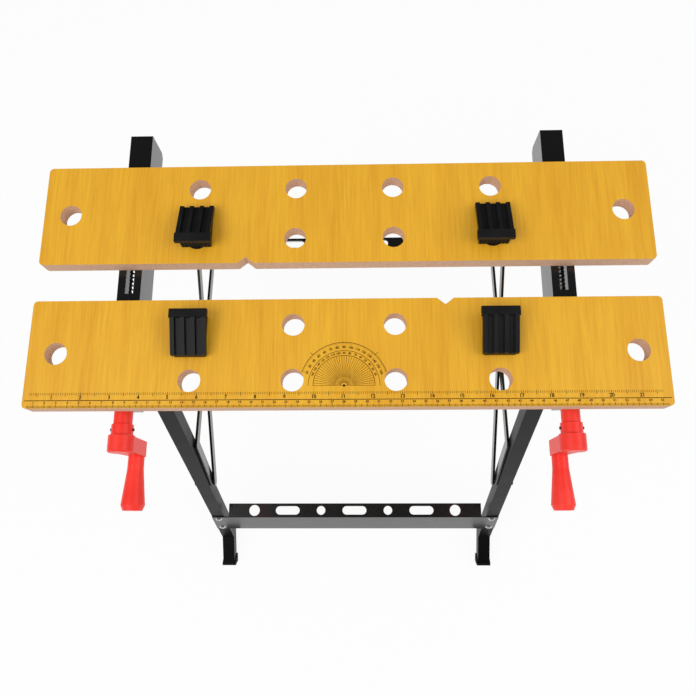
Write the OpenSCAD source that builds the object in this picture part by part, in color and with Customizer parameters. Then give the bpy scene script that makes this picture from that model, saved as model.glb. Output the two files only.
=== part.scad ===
// Folding workbench: two drilled boards on channel arms, screw-driven rear jaw,
// folding legs with perforated crossbars and flat stays. Millimetres.

/* [Boards] */
// Board length
board_l = 560; // [400:10:800]
// Board depth, front to back
board_d = 98; // [80:1:140]
// Board thickness
board_t = 15; // [12:1:25]
// Gap between the boards as shown
gap = 35; // [10:1:40]
// Dog hole diameter
hole_d = 20; // [12:0.5:25]
// Pitch of the dog holes along the board
pitch_x = 90; // [60:1:120]
// Rows of dog holes from the board edge
row_in = 24; // [18:1:35]
// End hole distance from the board middle
end_x = 255; // [200:1:300]
// Width of the V notch for round work
notch_w = 15; // [8:1:25]
// Depth of the V notch
notch_h = 6; // [3:0.5:12]
// Corner radius of the boards
corner_r = 4; // [1:0.5:10]

/* [Arms] */
// Arm centre distance from the middle
arm_x = 200; // [150:1:240]
// Arm outside width
arm_w = 21.6; // [18:0.1:30]
// Arm height
arm_h = 35; // [25:1:50]
// Sheet thickness of arms and legs
sheet = 1.5; // [1:0.1:3]
// Front end of the arm behind the front edge
arm_in = 5; // [0:1:20]
// Arm length
arm_l = 269; // [200:1:400]
// Slot width on top of the arm
slot_w = 8; // [6:0.5:10]
// Slot start behind the front edge
slot_from = 110; // [100:1:140]
// Slot end behind the front edge
slot_to = 236; // [180:1:260]

/* [Screws and cranks] */
// Screw core diameter
screw_d = 9; // [6:0.5:12]
// Screw height below the board top
screw_z = 29; // [24:1:32]
// Screw end behind the front edge
screw_to = 262; // [200:1:265]
// Height of thread ridges
ridge_h = 0.7; // [0.3:0.1:1]
// Spacing of thread ridges
ridge_p = 4; // [3:0.5:6]
// Crank neck radius
neck_r = 8.3; // [6:0.1:12]
// Crank neck length from the board edge
neck_l = 9.3; // [5:0.1:15]
// Crank collar end from the board edge
collar_l = 19.5; // [12:0.1:25]
// Crank collar radius
collar_r = 9.7; // [8:0.1:14]
// Crank hub radius
hub_r = 11.8; // [9:0.1:16]
// Crank throw, screw axis to handle axis
throw = 38; // [25:1:60]
// Handle length
handle_l = 50; // [30:1:70]
// Handle radius at the hub
handle_r1 = 7.4; // [5:0.1:12]
// Handle radius at the free end
handle_r2 = 11; // [6:0.1:16]

/* [Dogs] */
// Dog width
dog_w = 31; // [20:1:40]
// Dog length
dog_l = 39; // [25:1:50]
// Dog height at the face
dog_h = 18.5; // [10:1:25]
// Dog height at the low end
dog_low = 6; // [3:0.5:10]
// Overhang of the lip
lip = 2; // [1:0.5:4]
// Height of the ribs above the slope
rib_h = 2.6; // [1:0.1:4]
// Width of a rib
rib_w = 3.8; // [2:0.1:6]
// Spacing of the grip points
grip_step = 3.4; // [2:0.1:5]
// Height of the lip
lip_h = 5; // [3:0.5:8]
// Face to peg axis on the front dogs
peg_front = 10; // [6:0.5:20]
// Face to peg axis on the rear dogs
peg_rear = 10; // [6:0.5:22]
// Running clearance of pins and pegs, radial
run = 0.06; // [0.01:0.01:0.1]
// Clearance between facing moving parts
clear = 0.3; // [0.2:0.05:1]

/* [Legs] */
// Leg width
leg_w = 18; // [14:0.5:24]
// Leg depth
leg_d = 17; // [12:0.5:24]
// Lean of the legs from upright, degrees
lean = 19.2; // [10:0.1:25]
// Front leg pivot behind the front edge
p1_y = 73.5; // [60:0.5:90]
// Front leg pivot below the board top
p1_z = 43.5; // [40:0.5:48]
// Rear leg pivot behind the front edge
p3_y = 200; // [180:0.5:230]
// Rear leg pivot below the board top
p3_z = 31; // [28:0.5:40]
// Centre distance of the rear legs from the middle
rear_x = 175; // [150:0.5:180]
// Depth of the bend below the board top
bend_z = 549; // [400:1:600]
// Toe angle below level, degrees
toe_a = 20; // [15:1:60]
// Toe length
toe_l = 46; // [20:1:60]
// Pivot pin radius
pin_r = 3; // [2:0.1:4]
// Pin head radius
head_r = 5; // [4:0.1:8]
// Pin head thickness
head_t = 1.4; // [0.8:0.1:3]
// Rubber cap wall
cap_t = 3; // [2:0.5:5]
// Rubber cap length
cap_l = 7; // [10:1:25]
// Rubber cap wall at the tip
cap_tip = 3.5; // [2:0.5:10]

/* [Crossbars] */
// Top of the front step below the board top
step_z = 460; // [350:1:500]
// Depth of the step's top face
step_d = 20; // [12:1:35]
// Height of the step's front face
step_h = 46; // [25:1:60]
// Pitch of the holes in the step
step_pitch = 48.8; // [40:0.1:60]
// Diameter of the end holes
big_d = 15.5; // [10:0.5:18]
// Diameter of the small holes
small_d = 12.5; // [8:0.5:16]
// Slot length in the step
step_slot_l = 35; // [20:1:40]
// Slot width in the step
step_slot_w = 12; // [8:0.5:16]

/* [Stays] */
// Thickness of the flat stays
stay_t = 3; // [2:0.1:5]
// Width of the flat stays
stay_w = 12; // [8:0.5:18]
// Lower stay pivot below the board top, on the front leg
p2_z = 358; // [300:1:380]
// Upper stay rear pivot distance down the rear leg
qa_s = 163.4; // [120:0.1:220]
// Lower stay rear pivot distance down the rear leg
qb_s = 281.5; // [240:0.1:330]
// Bend of the lower stay behind the front edge
kink_y = 2; // [-10:1:20]
// Bend of the lower stay below the board top
kink_z = 262; // [240:1:290]

/* [Hidden] */
$fn = 40;
eps = 0.01;
y_shift = (p1_y + p3_y + (p1_z - p3_z) * tan(lean)) / 2;
hi = bend_z + (toe_l + cap_tip) * sin(toe_a)
  + (leg_d / 2 + cap_t) * cos(toe_a);
b2 = board_l / 2;
rear_y0 = board_d + gap;
arm_top = board_t + clear;
arm_mid = arm_w / 2;
leg_half = leg_w / 2;
dep_half = leg_d / 2;
leg_len = (bend_z - p1_z) / cos(lean);
rleg_len = (bend_z - p3_z) / cos(lean);
ear = pin_r + sheet * 3;
web_from = ear + sheet * 3;
p2_s = (p2_z - p1_z) / cos(lean);
p2_y = p1_y - p2_s * sin(lean);
qa_y = p3_y + qa_s * sin(lean);
qa_z = p3_z + qa_s * cos(lean);
qb_y = p3_y + qb_s * sin(lean);
qb_z = p3_z + qb_s * cos(lean);
pin_in = arm_x - arm_mid;
ra_out = rear_x + leg_half;
a_x0 = ra_out + clear;
a_x1 = a_x0 + stay_t;
b_x0 = a_x1 + clear;
b_x1 = b_x0 + stay_t;
nut_w = 13.6;
nut_l = 22;
nut_t = 26;
nut_y = rear_y0 + board_d / 2;
jaw_bolt_r = 3;
jaw_head_r = 6;
bolt_in = 10;
screw_shares = [0.15, 0.85];
flange_in = 2 * stay_t + 1;
step_s = (step_z - p1_z) / cos(lean);
rbar_s = (step_z - p3_z) / cos(lean);
crank_y = -35;
collar_mid = (neck_l + collar_l) / 2;
side_throw = hub_r * 0.35;
ink = [0.09, 0.09, 0.095];
yellow = [0.93, 0.69, 0.2];
red = [0.95, 0.2, 0.16];
steel = [0.72, 0.73, 0.75];
rubber = [0.06, 0.06, 0.065];

// Bench coordinates: front edge at y 0, board top at z 0.
module bench() translate([0, -y_shift, hi]) children();

module board_outline() {
  difference() {
    hull() for (x = [-1, 1], y = [0, 1])
      translate([x * (b2 - corner_r), corner_r + y * (board_d - 2 * corner_r)])
        circle(r = corner_r);
    for (c = [-3, -1, 1, 3], r = [row_in, board_d - row_in])
      translate([c * pitch_x / 2, r]) circle(d = hole_d);
    for (x = [-end_x, end_x]) translate([x, board_d / 2]) circle(d = hole_d);
    translate([pitch_x, board_d])
      polygon([[-notch_w / 2, eps], [notch_w / 2, eps], [0, -notch_h]]);
  }
}
module bolt_holes() for (s = [-1, 1]) translate([s * arm_x, board_d / 2, -eps])
  cylinder(r = jaw_bolt_r + run, h = bolt_in + run + eps);
module board() difference() {
  linear_extrude(board_t) board_outline();
  bolt_holes();
}

module front_board() color(yellow) bench() translate([0, 0, -board_t]) board();

module rear_board() color(yellow) bench()
  translate([0, rear_y0 + board_d, -board_t]) rotate([0, 0, 180]) board();

module across(r, x0, x1) translate([x0, 0, 0]) rotate([0, 90, 0])
  cylinder(r = r, h = x1 - x0);

// Inverted channel with the nut slot on top and pivot holes in the sides.
module arm(s) color(ink) bench() difference() {
  translate([s * arm_x - arm_mid, arm_in, -arm_top - arm_h])
    cube([arm_w, arm_l, arm_h]);
  translate([s * arm_x - arm_mid + sheet, arm_in + sheet, -arm_top - arm_h - eps])
    cube([arm_w - 2 * sheet, arm_l, arm_h - sheet + eps]);
  translate([s * arm_x, arm_in + sheet / 2, -screw_z]) rotate([90, 0, 0])
    cylinder(r = screw_d / 2 + run, h = sheet * 2, center = true);
  translate([s * arm_x - slot_w / 2, slot_from, -arm_top - 2 * sheet])
    cube([slot_w, slot_to - slot_from, 4 * sheet]);
  translate([s * arm_x, board_d / 2, -arm_top - 2 * sheet])
    cylinder(r = jaw_bolt_r + run, h = 4 * sheet);
  translate([0, p1_y, -p1_z])
    across(pin_r + run, s * arm_x - arm_w, s * arm_x + arm_w);
  translate([0, p3_y, -p3_z])
    if (s < 0) across(pin_r + run, -arm_x, -arm_x + arm_w);
    else across(pin_r + run, arm_x - arm_w, arm_x);
  translate([0, arm_in + arm_l, -arm_top - arm_h]) rotate([45, 0, 0])
    cube([2 * (arm_x + arm_w), sheet * 4, sheet * 4], center = true);
}
module arm_left() arm(-1);
module arm_right() arm(1);

// Screw with ring ridges; turns in the arm, drives the nut.
module screw(s) color(steel) bench() translate([s * arm_x, 0, -screw_z])
  rotate([-90, 0, 0]) rotate_extrude() {
    polygon(concat([[0, crank_y / 2], [screw_d / 2, crank_y / 2],
      [screw_d / 2, slot_from - ridge_p]],
      [for (i = [0 : floor((screw_to - slot_from) / ridge_p) - 1], k = [0, 1])
        [screw_d / 2 + (k == 0 ? 0 : ridge_h),
         slot_from + (i + k / 2) * ridge_p]],
      [[screw_d / 2, screw_to], [0, screw_to]]));
  }
module screw_left() screw(-1);
module screw_right() screw(1);

// Plastic crank: neck, collar, hub, web and flared handle.
module crank(s) color(red) bench() translate([s * arm_x, 0, -screw_z])
  difference() {
    union() {
      rotate([90, 0, 0]) rotate_extrude()
        polygon([[0, -arm_in + clear], [neck_r, -arm_in + clear],
          [neck_r, neck_l], [collar_r, neck_l + ridge_h],
          [collar_r, collar_l], [hub_r - ridge_h, collar_l],
          [hub_r, collar_l + ridge_h],
          [hub_r, -crank_y - 1], [hub_r - 1, -crank_y], [0, -crank_y]]);
      translate([0, -collar_l - ridge_h, 0]) rotate([90, 0, 0])
        linear_extrude(-crank_y - collar_l - 2 * ridge_h) hull() {
          circle(r = hub_r - 1);
          translate([-s * side_throw, -throw]) circle(r = handle_r1 * 0.9);
        }
      translate([-s * side_throw / 2, crank_y + 1, -throw]) rotate([90, 0, 0])
        rotate_extrude() polygon([[0, 0], [handle_r1, 0],
          [handle_r1 * 1.02, handle_l * 0.25], [handle_r2, handle_l * 0.9],
          [handle_r2 * 0.8, handle_l], [0, handle_l]]);
    }
    rotate([90, 0, 0]) translate([0, 0, -neck_r * 2])
      cylinder(r = screw_d / 2 + run, h = neck_r * 2 - crank_y / 2 + run);
    translate([0, -collar_mid, 0])
      across(ridge_h * 2 + run, -hub_r * 2, hub_r * 2);
  }
module crank_left() crank(-1);
module crank_right() crank(1);

// Roll pin through the collar.
module crank_pin(s) color(ink) bench()
  translate([s * arm_x, -collar_mid, -screw_z]) difference() {
    across(ridge_h * 2, -collar_r - 1, collar_r + 1);
    rotate([90, 0, 0])
      cylinder(r = screw_d / 2 + run, h = hub_r, center = true);
  }
module crank_pin_left() crank_pin(-1);
module crank_pin_right() crank_pin(1);

// Sliding nut block inside the arm.
module nut(s) color(steel) bench() difference() {
  translate([s * arm_x - nut_w / 2, nut_y - nut_l / 2,
      -arm_top - sheet - clear - nut_t])
    cube([nut_w, nut_l, nut_t]);
  translate([s * arm_x, nut_y, -screw_z]) rotate([90, 0, 0])
    cylinder(r = screw_d / 2 + ridge_h + run, h = nut_l * 2, center = true);
}
module nut_left() nut(-1);
module nut_right() nut(1);

// Jaw bolts: from the nut through the slot into the rear board.
module jaw_bolts() color(ink) bench() for (s = [-1, 1])
  translate([s * arm_x, nut_y, -arm_top - sheet - clear])
    cylinder(r = jaw_bolt_r, h = arm_top - board_t + bolt_in + sheet + clear);

module board_bolts() color(ink) bench() for (s = [-1, 1])
  translate([s * arm_x, board_d / 2, 0]) {
    translate([0, 0, -arm_top - sheet - head_t / 2])
      cylinder(r = jaw_bolt_r, h = arm_top - board_t + sheet + head_t / 2 + bolt_in);
    translate([0, 0, -arm_top - sheet - head_t - run])
      cylinder(r = jaw_head_r, h = head_t);
  }

// Plastic bench dog: sloping ribbed top, wide lip, grip face towards +y.
module dog_side(w, pts) rotate([90, 0, 90]) translate([0, 0, -w / 2])
  linear_extrude(w) polygon(pts);
module dog_body(peg) {
  dog_side(dog_w - 2 * lip, [[-lip, 0], [-lip, dog_h - rib_h],
    [-lip * 4, dog_h - rib_h], [-dog_l, dog_low], [-dog_l, 0]]);
  dog_side(dog_w + lip, [[-lip * 4, dog_h - lip_h], [-lip * 4, dog_h],
    [0, dog_h], [0, dog_h - lip_h]]);
  for (i = [-1.5 : 1.5]) translate([i * (dog_w - rib_w) / 3, 0, 0])
    dog_side(rib_w, [[-lip * 4 + eps, dog_h - rib_h * 2],
      [-lip * 4 + eps, dog_h - eps], [-dog_l, dog_low + rib_h],
      [-dog_l, dog_low - rib_h]]);
  for (i = [0 : 7], k = [0 : 2])
    translate([(i - 3.5) * grip_step, -lip - eps, (k + 0.8) * grip_step])
      rotate([-90, 0, 0]) cylinder(r1 = grip_step * 0.4, r2 = 0.4, h = 1.2);
  translate([0, -peg, -board_t - lip]) cylinder(r = hole_d / 2 - run,
    h = board_t + lip + eps);
}
module dog(x, y, turn, peg) color(rubber) bench() translate([x, y, clear])
  rotate([0, 0, turn]) translate([0, peg, 0]) dog_body(peg);
module dog_front_left() dog(-1.5 * pitch_x, board_d - row_in, 0, peg_front);
module dog_front_right() dog(1.5 * pitch_x, board_d - row_in, 0, peg_front);
module dog_rear_left() dog(-1.5 * pitch_x, rear_y0 + row_in, 180, peg_rear);
module dog_rear_right() dog(1.5 * pitch_x, rear_y0 + row_in, 180, peg_rear);

// Leg channel built hanging from its pivot, web towards local -y.
module leg_outline(len) {
  circle(r = ear);
  polygon([[-ear, 0], [ear, 0], [ear, -ear], [dep_half, -ear * 2],
    [dep_half, -len - dep_half * 0.5],
    [toe_end(len)[0] + toe_n[0] * dep_half, toe_end(len)[1] + toe_n[1] * dep_half],
    [toe_end(len)[0] - toe_n[0] * dep_half, toe_end(len)[1] - toe_n[1] * dep_half],
    [-dep_half, -len + dep_half * 0.6], [-dep_half, -ear * 2], [-ear, -ear]]);
}
module leg_plate(len) linear_extrude(sheet) leg_outline(len);
// Toe direction in the leg's own plane.
toe_dir = [-cos(toe_a + lean), -sin(toe_a + lean)];
toe_n = [-toe_dir[1], toe_dir[0]];
function toe_end(len) = [toe_dir[0] * toe_l, -len + toe_dir[1] * toe_l];

module leg(len, holes) difference() {
  union() {
    for (x = [-leg_half, leg_half - sheet]) translate([x, 0, 0])
      rotate([90, 0, 90]) leg_plate(len);
    rotate([90, 0, 90]) translate([0, 0, -leg_half]) linear_extrude(leg_w)
      polygon([[-dep_half, -web_from], [-dep_half + sheet, -web_from],
        [-dep_half + sheet, -len + dep_half * 0.4],
        [toe_end(len)[0] - toe_n[0] * (dep_half - sheet),
         toe_end(len)[1] - toe_n[1] * (dep_half - sheet)],
        [toe_end(len)[0] - toe_n[0] * dep_half,
         toe_end(len)[1] - toe_n[1] * dep_half],
        [-dep_half, -len + dep_half * 0.6]]);
  }
  across(pin_r + run, -leg_w, leg_w);
  for (h = holes) translate([0, 0, -h]) across(pin_r + run, -leg_w, leg_w);
}

module front_at() bench() translate([0, p1_y, -p1_z]) rotate([-lean, 0, 0])
  children();
module rear_at() bench() translate([0, p3_y, -p3_z]) rotate([lean, 0, 0])
  mirror([0, 1, 0]) children();

module front_leg(s) color(ink) front_at() translate([s * arm_x, 0, 0])
  difference() {
    leg(leg_len, [p2_s]);
    for (d = screw_shares) translate([0, 0, -step_s - step_h * d])
      rotate([90, 0, 0]) cylinder(r = pin_r * 0.8 + run, h = leg_d);
  }
module front_leg_left() front_leg(-1);
module front_leg_right() front_leg(1);
module rear_leg(s) color(ink) rear_at() translate([s * rear_x, 0, 0])
  difference() {
    leg(rleg_len, [qa_s, qb_s]);
    for (d = screw_shares) translate([0, 0, -rbar_s - step_h * d])
      rotate([90, 0, 0]) cylinder(r = pin_r * 0.8 + run, h = leg_d);
  }
module rear_leg_left() rear_leg(-1);
module rear_leg_right() rear_leg(1);

// Rubber shoe over the toe, lip up the inner side.
module shoe(len, s) difference() {
  rotate([90, 0, 90]) translate([0, 0, -leg_half - cap_t * 0.5])
    linear_extrude(leg_w + cap_t) polygon([
      toe_end(len) + toe_n * (dep_half + cap_t) - toe_dir * (cap_l * 1.3),
      toe_end(len) + toe_n * (dep_half + cap_t) + toe_dir * cap_tip,
      toe_end(len) - toe_n * dep_half * 0.96 + toe_dir * cap_tip,
      toe_end(len) - toe_n * dep_half * 0.96 - toe_dir * cap_l * 0.05,
      toe_end(len) + toe_n * dep_half * 0.2 - toe_dir * (cap_l)]);
  rotate([90, 0, 90]) translate([0, 0, -leg_half - run])
    linear_extrude(leg_w + 2 * run) offset(delta = run) leg_outline(len);
}
module foot_front(s) color(rubber) front_at() translate([s * arm_x, 0, 0])
  shoe(leg_len, s);
module foot_front_left() foot_front(-1);
module foot_front_right() foot_front(1);
module foot_rear(s) color(rubber) rear_at() translate([s * rear_x, 0, 0])
  shoe(rleg_len, s);
module foot_rear_left() foot_rear(-1);
module foot_rear_right() foot_rear(1);

// Perforated crossbar: front sheet on the leg faces, level top flange between.
module bar(half, s0) difference() {
  union() {
    translate([-half - leg_half, -dep_half - sheet, -s0 - step_h])
      cube([2 * half + leg_w, sheet, step_h]);
    translate([-half + leg_half + flange_in, -dep_half - sheet, -s0])
      rotate([lean, 0, 0])
        cube([2 * (half - leg_half - flange_in), step_d, sheet]);
  }
  for (i = [-3 : 3]) translate([i * step_pitch, -dep_half - sheet, -s0])
    rotate([lean, 0, 0]) translate([0, step_d / 2, -sheet]) if (abs(i) == 3)
      cylinder(d = big_d, h = sheet * 4);
    else if (abs(i) == 1)
      cylinder(d = small_d, h = sheet * 4);
    else hull() for (k = [-1, 1])
      translate([k * (step_slot_l - step_slot_w) / 2, 0, 0])
        cylinder(d = step_slot_w, h = sheet * 4);
  for (s = [-1, 1], d = screw_shares) translate([s * half, 0, -s0 - step_h * d])
    rotate([90, 0, 0]) cylinder(r = pin_r * 0.8 + run, h = leg_d);
}
module front_step() color(ink) front_at() bar(arm_x, step_s);
module rear_bar() color(ink) rear_at() bar(rear_x, rbar_s);

module bar_screws(half, s0) for (s = [-1, 1], d = screw_shares)
  translate([s * half, -dep_half - sheet, -s0 - step_h * d])
    rotate([90, 0, 0]) difference() {
      union() {
        cylinder(r1 = head_r, r2 = head_r * 0.6, h = head_t * 1.3);
        translate([0, 0, -sheet * 2]) cylinder(r = pin_r * 0.8, h = sheet * 2 + eps);
      }
      for (a = [0, 90]) rotate([0, 0, a]) translate([0, 0, head_t * 1.3])
        cube([head_r, sheet * 0.6, head_t], center = true);
    }
module step_screws() color(steel) front_at() bar_screws(arm_x, step_s);
module rear_bar_screws() color(steel) rear_at() bar_screws(rear_x, rbar_s);

// Leg pivots, fixed in the arms.
module front_pivots() color(ink) bench() translate([0, p1_y, -p1_z])
  for (s = [-1, 1]) translate([s * arm_x, 0, 0]) {
    across(pin_r, -arm_mid, arm_mid);
    across(head_r, -arm_mid - head_t, -arm_mid);
    across(head_r, arm_mid, arm_mid + head_t);
  }
module rear_pivots() color(ink) bench() translate([0, p3_y, -p3_z])
  for (s = [0, 1]) mirror([s, 0, 0]) {
    across(pin_r, rear_x - leg_half - clear, pin_in + sheet);
    across(head_r, rear_x - leg_half - clear - head_t, rear_x - leg_half - clear);
    across(head_r, rear_x + leg_half + clear, pin_in);
    across(head_r, pin_in + sheet, pin_in + sheet + head_t);
  }
// Bolts where the stays meet the front legs.
module stay_bolts() color(ink) front_at() translate([0, 0, -p2_s])
  for (s = [0, 1]) mirror([s, 0, 0]) {
    across(pin_r, arm_x - leg_half, arm_x + leg_half);
    across(head_r * 1.1, arm_x + leg_half, arm_x + leg_half + head_t * 2);
  }
// Pins of the stays on the rear legs.
module stay_pins() color(steel) rear_at() for (s = [0, 1]) mirror([s, 0, 0]) {
  translate([0, 0, -qa_s]) {
    across(pin_r, ra_out - sheet, a_x1 + run * 2);
    across(head_r * 0.8, ra_out - sheet - head_t, ra_out - sheet);
  }
  translate([0, 0, -qb_s]) {
    across(pin_r, ra_out - sheet, b_x1 + run * 2);
    across(head_r, ra_out, b_x0 - clear);
    across(head_r * 0.8, ra_out - sheet - head_t, ra_out - sheet);
  }
}

module flat_bar(pts) for (i = [0 : len(pts) - 2]) hull() for (k = [0, 1])
  translate(pts[i + k]) circle(d = stay_w);
module stay(x0, pts) color(ink) bench() translate([x0, 0, 0])
  rotate([90, 0, 90]) linear_extrude(stay_t) difference() {
    flat_bar(pts);
    translate(pts[0]) circle(r = pin_r + run);
  }
upper = [[qa_y, -qa_z], [p2_y, -p2_z]];
lower = [[qb_y, -qb_z], [kink_y, -kink_z], [p2_y, -p2_z]];
module stay_upper_left() stay(-a_x1, upper);
module stay_upper_right() stay(a_x0, upper);
module stay_lower_left() stay(-b_x1, lower);
module stay_lower_right() stay(b_x0, lower);

front_board();
rear_board();
arm_left();
arm_right();
screw_left();
screw_right();
crank_left();
crank_right();
crank_pin_left();
crank_pin_right();
nut_left();
nut_right();
jaw_bolts();
board_bolts();
dog_front_left();
dog_front_right();
dog_rear_left();
dog_rear_right();
front_leg_left();
front_leg_right();
front_step();
step_screws();
front_pivots();
stay_bolts();
foot_front_left();
foot_front_right();
rear_leg_left();
rear_leg_right();
rear_bar();
rear_bar_screws();
rear_pivots();
stay_pins();
foot_rear_left();
foot_rear_right();
stay_upper_left();
stay_upper_right();
stay_lower_left();
stay_lower_right();
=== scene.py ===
"""Folding workbench: finishes, printed rule and protractor, studio."""

import math

import bpy
from mathutils import Matrix, Vector


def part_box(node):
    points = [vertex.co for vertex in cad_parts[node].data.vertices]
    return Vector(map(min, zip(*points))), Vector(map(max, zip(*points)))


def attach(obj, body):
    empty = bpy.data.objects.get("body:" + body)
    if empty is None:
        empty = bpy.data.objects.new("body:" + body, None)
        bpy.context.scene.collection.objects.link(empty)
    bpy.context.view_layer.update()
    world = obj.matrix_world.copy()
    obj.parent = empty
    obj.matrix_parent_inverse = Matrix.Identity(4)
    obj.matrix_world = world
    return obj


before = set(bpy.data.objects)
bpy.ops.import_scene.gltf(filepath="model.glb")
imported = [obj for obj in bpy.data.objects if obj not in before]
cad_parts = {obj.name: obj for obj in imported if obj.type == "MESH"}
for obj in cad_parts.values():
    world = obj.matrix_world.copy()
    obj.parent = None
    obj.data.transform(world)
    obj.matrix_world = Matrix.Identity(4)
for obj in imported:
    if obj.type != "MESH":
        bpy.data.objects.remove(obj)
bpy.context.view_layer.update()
MM = 0.001

# ---- places, from the frame ------------------------------------------------
board_low, board_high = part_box("front_board")
TOP = board_high.z
FRONT = board_low.y
LEFT = board_low.x
LENGTH = board_high.x - board_low.x
MIDDLE = (board_low.x + board_high.x) / 2


def srgb(hex_text):
    """One linearising function for every colour."""
    parts = [int(hex_text[i:i + 2], 16) / 255 for i in (1, 3, 5)]
    return tuple(c / 12.92 if c <= 0.04045 else ((c + 0.055) / 1.055) ** 2.4
                 for c in parts) + (1.0,)


def add(tree, kind, settings=None, links=None):
    """Adds a node, sets its sockets or properties, and links its inputs."""
    made = tree.nodes.new(kind)
    for key, value in (settings or {}).items():
        if isinstance(key, int) or key in made.inputs:
            made.inputs[key].default_value = value
        else:
            setattr(made, key, value)
    for key, source in (links or {}).items():
        tree.links.new(source, made.inputs[key])
    return made


def start_material(name):
    material = bpy.data.materials.new(name)
    material.use_nodes = True
    tree = material.node_tree
    tree.nodes.clear()
    place = add(tree, "ShaderNodeTexCoord")
    return material, tree, place


def close_material(tree, shader):
    add(tree, "ShaderNodeOutputMaterial", links={"Surface": shader.outputs[0]})


def ramp(tree, fac, low, high, low_at=0.0, high_at=1.0):
    made = add(tree, "ShaderNodeValToRGB", links={"Fac": fac})
    first, last = made.color_ramp.elements
    first.position, first.color = low_at, low
    last.position, last.color = high_at, high
    return made


# ---- materials -------------------------------------------------------------
def laminated_mdf():
    """Printed wood-grain foil on MDF: fine yellow grain on the faces, pink-tan
    fibre on sawn edges and in the drilled holes."""
    material, tree, place = start_material("laminated_mdf")
    # grain runs front to back, about 1.5 mm between the dark streaks
    stretched = add(tree, "ShaderNodeMapping", {"Scale": (620, 22, 22)},
                    {"Vector": place.outputs["Object"]})
    grain = add(tree, "ShaderNodeTexNoise",
                {"Scale": 1.0, "Detail": 4.0, "Roughness": 0.62},
                {"Vector": stretched.outputs[0]})
    broad_map = add(tree, "ShaderNodeMapping", {"Scale": (60, 5, 5)},
                    {"Vector": place.outputs["Object"]})
    broad = add(tree, "ShaderNodeTexNoise", {"Scale": 1.0, "Detail": 3.0},
                {"Vector": broad_map.outputs[0]})
    streaks = ramp(tree, grain.outputs["Fac"], srgb("#D5930F"),
                   srgb("#EDB122"), 0.3, 0.62)
    bands = ramp(tree, broad.outputs["Fac"], srgb("#DFA01C"),
                 srgb("#EFB62A"), 0.35, 0.65)
    face = add(tree, "ShaderNodeMix", {"data_type": "RGBA", "Factor": 0.45})
    tree.links.new(streaks.outputs[0], face.inputs[6])
    tree.links.new(bands.outputs[0], face.inputs[7])
    fibre = add(tree, "ShaderNodeTexNoise", {"Scale": 900.0, "Detail": 3.0},
                {"Vector": place.outputs["Object"]})
    edge = ramp(tree, fibre.outputs["Fac"], srgb("#C99C7C"),
                srgb("#E6C2A4"), 0.3, 0.7)
    normal = add(tree, "ShaderNodeSeparateXYZ",
                 links={"Vector": place.outputs["Normal"]})
    upright = add(tree, "ShaderNodeMath", {"operation": "ABSOLUTE"},
                  {0: normal.outputs["Z"]})
    flat = add(tree, "ShaderNodeMath", {"operation": "GREATER_THAN", 1: 0.6},
               {0: upright.outputs[0]})
    colour = add(tree, "ShaderNodeMix", {"data_type": "RGBA"},
                 {"Factor": flat.outputs[0]})
    tree.links.new(edge.outputs[0], colour.inputs[6])
    tree.links.new(face.outputs[2], colour.inputs[7])
    rough = add(tree, "ShaderNodeMapRange", {"To Min": 0.85, "To Max": 0.42},
                {"Value": flat.outputs[0]})
    bump = add(tree, "ShaderNodeBump", {"Strength": 0.12, "Distance": 0.0002},
               {"Height": grain.outputs["Fac"]})
    shader = add(tree, "ShaderNodeBsdfPrincipled", {"IOR": 1.5},
                 {"Base Color": colour.outputs[2],
                  "Roughness": rough.outputs[0], "Normal": bump.outputs[0]})
    close_material(tree, shader)
    return material


def moulded(name, low, high, roughness, grit_mm, strength, coat=0.0,
            metallic=0.0, specular=0.5):
    """A coated, moulded or plated surface: two close tones and a fine skin."""
    material, tree, place = start_material(name)
    cloud = add(tree, "ShaderNodeTexNoise", {"Scale": 35.0, "Detail": 3.0},
                {"Vector": place.outputs["Object"]})
    tone = ramp(tree, cloud.outputs["Fac"], srgb(low), srgb(high), 0.3, 0.7)
    skin = add(tree, "ShaderNodeTexNoise",
               {"Scale": 1 / (grit_mm * MM), "Detail": 2.0},
               {"Vector": place.outputs["Object"]})
    bump = add(tree, "ShaderNodeBump",
               {"Strength": strength, "Distance": grit_mm * MM * 0.1},
               {"Height": skin.outputs["Fac"]})
    rough = add(tree, "ShaderNodeMapRange",
                {"To Min": roughness * 0.85, "To Max": roughness * 1.15},
                {"Value": cloud.outputs["Fac"]})
    shader = add(tree, "ShaderNodeBsdfPrincipled",
                 {"IOR": 1.5, "Metallic": metallic, "Coat Weight": coat,
                  "Coat Roughness": 0.12, "Specular IOR Level": specular},
                 {"Base Color": tone.outputs[0],
                  "Roughness": rough.outputs[0], "Normal": bump.outputs[0]})
    close_material(tree, shader)
    return material


board_finish = laminated_mdf()
# satin powder coat on arms, stays and crossbars: orange-peel skin
# about 1.2 mm across
powder = moulded("black_powder_coat", "#070708", "#0C0C0D", 0.26, 1.2, 0.2,
                 coat=0.4, specular=0.45)
# the legs' front webs look darker than the crossbars in the photograph,
# so their coat reflects less; the real coat may be the same
leg_powder = moulded("black_leg_coat", "#070708", "#0C0C0D", 0.4, 1.2, 0.2,
                     specular=0.14)
# zinc-plated steel: bright, slightly cloudy
zinc = moulded("zinc_plate", "#B9BBBE", "#D6D8DA", 0.28, 0.6, 0.1,
               metallic=1.0)
pin_black = moulded("black_oxide", "#141415", "#202022", 0.38, 0.8, 0.15)
# red polypropylene: satin, faintly grained
red_pp = moulded("red_polypropylene", "#F62A1B", "#FF3A2B", 0.4, 0.7, 0.15)
# black ABS: matt grain on the dogs
black_abs = moulded("black_abs", "#0F0F10", "#19191A", 0.5, 0.5, 0.3,
                    specular=0.25)
rubber = moulded("black_rubber", "#0C0C0C", "#141414", 0.7, 0.6, 0.3,
                 specular=0.2)
ink = moulded("printing_ink", "#140C02", "#1E1305", 0.6, 0.5, 0.05,
               specular=0.1)

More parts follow.
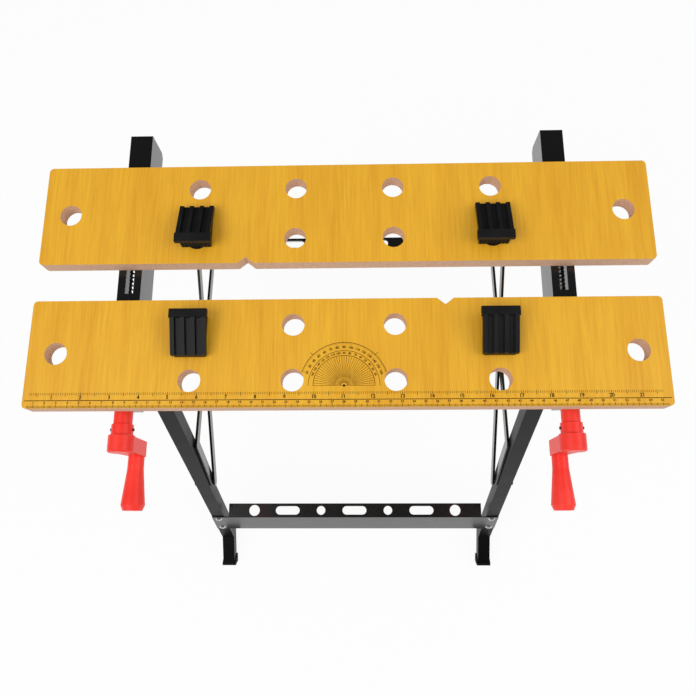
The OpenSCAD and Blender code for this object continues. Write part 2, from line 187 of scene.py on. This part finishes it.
FINISHES = {
    board_finish: ["front_board", "rear_board"],
    leg_powder: ["front_leg_left", "front_leg_right", "rear_leg_left",
                 "rear_leg_right"],
    powder: ["arm_left", "arm_right", "front_step", "rear_bar",
             "stay_upper_left", "stay_upper_right", "stay_lower_left",
             "stay_lower_right"],
    zinc: ["screw_left", "screw_right", "nut_left", "nut_right", "jaw_bolts",
           "step_screws", "rear_bar_screws", "stay_pins", "board_bolts"],
    pin_black: ["front_pivots", "rear_pivots", "stay_bolts",
                "crank_pin_left", "crank_pin_right"],
    red_pp: ["crank_left", "crank_right"],
    black_abs: ["dog_front_left", "dog_front_right", "dog_rear_left",
                "dog_rear_right"],
    rubber: ["foot_front_left", "foot_front_right", "foot_rear_left",
             "foot_rear_right"],
}
for finish, nodes in FINISHES.items():
    for node in nodes:
        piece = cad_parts[node]
        piece.data.materials.clear()
        piece.data.materials.append(finish)
        for polygon in piece.data.polygons:
            polygon.material_index = 0


# ---- modelling helpers -----------------------------------------------------
def deselect():
    bpy.ops.object.select_all(action="DESELECT")


def apply_place(piece):
    deselect()
    piece.select_set(True)
    bpy.context.view_layer.objects.active = piece
    bpy.ops.object.transform_apply(location=True, rotation=True, scale=True)


def merge(pieces, name):
    deselect()
    for piece in pieces:
        piece.select_set(True)
    bpy.context.view_layer.objects.active = pieces[0]
    if len(pieces) > 1:
        bpy.ops.object.join()
    made = bpy.context.view_layer.objects.active
    made.name = name
    apply_place(made)
    return made


def dress(piece, finish, body):
    piece.data.materials.clear()
    piece.data.materials.append(finish)
    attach(piece, body)
    return piece


INK = 0.04 * MM  # thickness of the print


def bar_at(x, y, width, depth, turn=0.0):
    """A printed bar centred at x, y, lying on the board."""
    deselect()
    bpy.ops.mesh.primitive_cube_add(size=1, location=(x, y, TOP + INK / 2))
    bar = bpy.context.active_object
    bar.scale = (width, depth, INK)
    bar.rotation_euler = (0, 0, turn)
    apply_place(bar)
    return bar


def tick_row(first_x, y0, y1, width, step, count):
    """Equal ticks from one bar and an array."""
    bar = bar_at(first_x, (y0 + y1) / 2, width, y1 - y0)
    array = bar.modifiers.new("row", "ARRAY")
    array.use_relative_offset = False
    array.use_constant_offset = True
    array.constant_offset_displace = (step, 0, 0)
    array.count = count
    bpy.ops.object.modifier_apply(modifier="row")
    return bar


def numeral(text, x, y, size, turn=0.0):
    """A printed number standing on x, y, reading from the crank side."""
    deselect()
    bpy.ops.object.text_add(location=(x, y, TOP), rotation=(0, 0, turn))
    made = bpy.context.active_object
    made.data.body = text
    made.data.size = size
    made.data.align_x = "CENTER"
    made.data.align_y = "CENTER"
    made.data.extrude = INK / 2
    made.data.resolution_u = 3
    made.data.offset = size * 0.03
    bpy.ops.object.convert(target="MESH")
    apply_place(made)
    return made


# ---- rule on the front edge ------------------------------------------------
CM, INCH = 10 * MM, 25.4 * MM
LINE, HAIR, MIDLINE = 0.45 * MM, 0.3 * MM, 0.6 * MM
RULE_IN = 2 * MM  # ends of the rule stay clear of the rounded corners
CM_TICKS = FRONT + 0.3 * MM  # centimetre ticks grow back from the edge
INCH_TICKS = FRONT + 13.8 * MM  # inch ticks end just short of the holes
MID_AT = 6.9 * MM  # line between the two scales
CM_COUNT, INCH_COUNT = 55, 21
rows = [
    tick_row(LEFT + CM, CM_TICKS, FRONT + 3.2 * MM, LINE, CM, CM_COUNT),
    tick_row(LEFT + CM / 2, CM_TICKS, FRONT + 2.6 * MM, LINE, CM, CM_COUNT),
    tick_row(LEFT + 5 * MM, CM_TICKS, FRONT + 2.2 * MM, HAIR, 1 * MM, 551),
    tick_row(LEFT + INCH / 16 * 4, FRONT + 11.6 * MM, INCH_TICKS, HAIR,
             INCH / 16, 344),
    tick_row(LEFT + INCH / 2, FRONT + 10.6 * MM, INCH_TICKS, LINE,
             INCH / 2, 43),
    bar_at(MIDDLE, FRONT + MID_AT, LENGTH - 2 * RULE_IN, MIDLINE),
]
dress(merge(rows, "rule_ticks"), ink, "bench")
numbers = [numeral(str(n), LEFT + n * CM, FRONT + 4.9 * MM, 2.9 * MM)
           for n in range(1, CM_COUNT + 1)]
numbers += [numeral(str(n), LEFT + n * INCH, FRONT + 9.4 * MM, 4.4 * MM)
            for n in range(1, INCH_COUNT + 1)]
dress(merge(numbers, "rule_numerals"), ink, "bench")

# ---- protractor ------------------------------------------------------------
CENTRE_Y = FRONT + 19 * MM
ARCS = (38.6 * MM, 31 * MM, 26.8 * MM)
RAY_FROM = 7.6 * MM
# the two drilled holes beside it, and the blank left around them
HOLE_X, HOLE_Y, HOLE_R = 45 * MM, 24 * MM, 10 * MM
HOLE_BLANK = 0.7 * MM


def on_arc(radius, degrees):
    turn = math.radians(degrees)
    return (MIDDLE + radius * math.cos(turn),
            CENTRE_Y + radius * math.sin(turn))


def over_hole(x, y):
    """True where the print would hang over a drilled hole."""
    return any(math.hypot(x - MIDDLE - side * HOLE_X, y - FRONT - HOLE_Y)
               < HOLE_R + HOLE_BLANK for side in (-1, 1))


parts = []
for radius in ARCS:
    for degrees in range(0, 180, 3):
        x, y = on_arc(radius, degrees + 1.5)
        if over_hole(x, y):
            continue
        parts.append(bar_at(x, y, 0.4 * MM, radius * math.radians(3.15),
                            math.radians(degrees + 1.5)))
for degrees in range(0, 181, 5):
    start = RAY_FROM if degrees % 10 else RAY_FROM / 3
    x, y = on_arc((start + ARCS[2]) / 2, degrees)
    parts.append(bar_at(x, y, ARCS[2] - start, 0.3 * MM,
                        math.radians(degrees)))
for degrees in range(0, 181, 2):
    reach = 2.4 * MM if degrees % 10 == 0 else 1.3 * MM
    x, y = on_arc(ARCS[0] - reach / 2, degrees)
    if over_hole(x, y):
        continue
    parts.append(bar_at(x, y, reach, 0.2 * MM, math.radians(degrees)))
parts.append(bar_at(MIDDLE, CENTRE_Y, 2 * ARCS[2], 0.3 * MM))
for degrees in (45, 135):
    x, y = on_arc(ARCS[0] + 1.5 * MM, degrees)
    parts.append(bar_at(x, y, 3 * MM, 0.4 * MM, math.radians(degrees)))
deselect()
bpy.ops.mesh.primitive_cylinder_add(vertices=24, radius=1.1 * MM, depth=INK,
                                    location=(MIDDLE, CENTRE_Y, TOP + INK / 2))
parts.append(bpy.context.active_object)
dress(merge(parts, "protractor_lines"), ink, "bench")
numbers = []
for degrees in range(10, 180, 10):
    turn = math.radians(degrees - 90)
    x, y = on_arc((ARCS[0] + ARCS[1]) / 2 - 0.6 * MM, degrees)
    if over_hole(x + 2 * MM, y) or over_hole(x - 2 * MM, y):
        continue
    numbers.append(numeral(str(180 - degrees), x, y, 3.0 * MM, turn))
    x, y = on_arc((ARCS[1] + ARCS[2]) / 2, degrees)
    numbers.append(numeral(str(degrees), x, y, 2.6 * MM, turn))
dress(merge(numbers, "protractor_numerals"), ink, "bench")

# ---- stage, light and camera -----------------------------------------------
FLOOR_GLOW = 0.92  # share of plain white in the floor as seen or reflected
ROOM_SOFT, ROOM_DIM = 0.55, 0.12  # room light, and the room in reflections
deselect()
bpy.ops.mesh.primitive_plane_add(size=12, location=(0, 0, 0))
floor = bpy.context.active_object
floor.name = "studio_floor"
material, tree, _ = start_material("studio_white")
diffuse = add(tree, "ShaderNodeBsdfDiffuse", {"Color": srgb("#F4F4F4")})
glow = add(tree, "ShaderNodeEmission",
           {"Color": (1, 1, 1, 1), "Strength": 1.0})
path = add(tree, "ShaderNodeLightPath")
seen = add(tree, "ShaderNodeMath", {"operation": "MAXIMUM"},
           {0: path.outputs["Is Camera Ray"],
            1: path.outputs["Is Glossy Ray"]})
part_white = add(tree, "ShaderNodeMath",
                 {"operation": "MULTIPLY", 1: FLOOR_GLOW},
                 {0: seen.outputs[0]})
mixed = add(tree, "ShaderNodeMixShader", links={
    "Fac": part_white.outputs[0], 1: diffuse.outputs[0], 2: glow.outputs[0]})
close_material(tree, mixed)
floor.data.materials.append(material)

# glossy coats mirror a dim room above and the white floor below
world = bpy.data.worlds.new("studio")
bpy.context.scene.world = world
world.use_nodes = True
tree = world.node_tree
tree.nodes.clear()
path = add(tree, "ShaderNodeLightPath")
soft = add(tree, "ShaderNodeBackground", {"Color": (1, 1, 1, 1),
                                          "Strength": ROOM_SOFT})
dim = add(tree, "ShaderNodeBackground", {"Color": (1, 1, 1, 1),
                                         "Strength": ROOM_DIM})
white = add(tree, "ShaderNodeBackground", {"Color": (1, 1, 1, 1),
                                           "Strength": 1.0})
lit = add(tree, "ShaderNodeMixShader", links={
    "Fac": path.outputs["Is Glossy Ray"], 1: soft.outputs[0],
    2: dim.outputs[0]})
mixed = add(tree, "ShaderNodeMixShader", links={
    "Fac": path.outputs["Is Camera Ray"], 1: lit.outputs[0],
    2: white.outputs[0]})
add(tree, "ShaderNodeOutputWorld", links={"Surface": mixed.outputs[0]})


def softbox(name, place_at, size, watts, aim):
    deselect()
    bpy.ops.object.light_add(type="AREA", location=place_at)
    lamp = bpy.context.active_object
    lamp.name = name
    lamp.data.shape = "DISK"
    lamp.data.size = size
    lamp.data.energy = watts
    lamp.rotation_mode = "QUATERNION"
    lamp.rotation_quaternion = (Vector(aim) - lamp.location).to_track_quat(
        "-Z", "Y")


AIM = (0, 0, TOP / 2)
softbox("key", (-1.1, -0.9, 2.3), 1.6, 23, AIM)
softbox("fill", (1.5, -0.4, 1.8), 1.8, 12.5, AIM)

# camera fitted to the printed rule, the drilled grid and the hole walls
FOCAL_PX, FRAME_PX, SENSOR_MM = 697.0, 696, 36
CAMERA_FROM_EDGE = (20.1 * MM, -105.3 * MM, 588.5 * MM)
PITCH, YAW, ROLL = (math.radians(a) for a in (74.92, 6.03, -6.23))
turn = Matrix.Rotation(YAW, 3, "Z")
forward = turn @ Vector((0, math.cos(PITCH), -math.sin(PITCH)))
right = turn @ Vector((1, 0, 0))
up = right.cross(forward)
side = right * math.cos(ROLL) + up * math.sin(ROLL)
head = up * math.cos(ROLL) - right * math.sin(ROLL)
deselect()
bpy.ops.object.camera_add(location=(
    MIDDLE + CAMERA_FROM_EDGE[0], FRONT + CAMERA_FROM_EDGE[1],
    TOP + CAMERA_FROM_EDGE[2]))
camera = bpy.context.active_object
camera.rotation_mode = "QUATERNION"
camera.rotation_quaternion = Matrix(
    (side, head, -forward)).transposed().to_quaternion()
camera.data.sensor_width = SENSOR_MM
camera.data.lens = SENSOR_MM * FOCAL_PX / FRAME_PX
camera.data.clip_start, camera.data.clip_end = 0.02, 50
bpy.context.scene.camera = camera
bpy.context.scene.view_settings.view_transform = "Standard"

deselect()
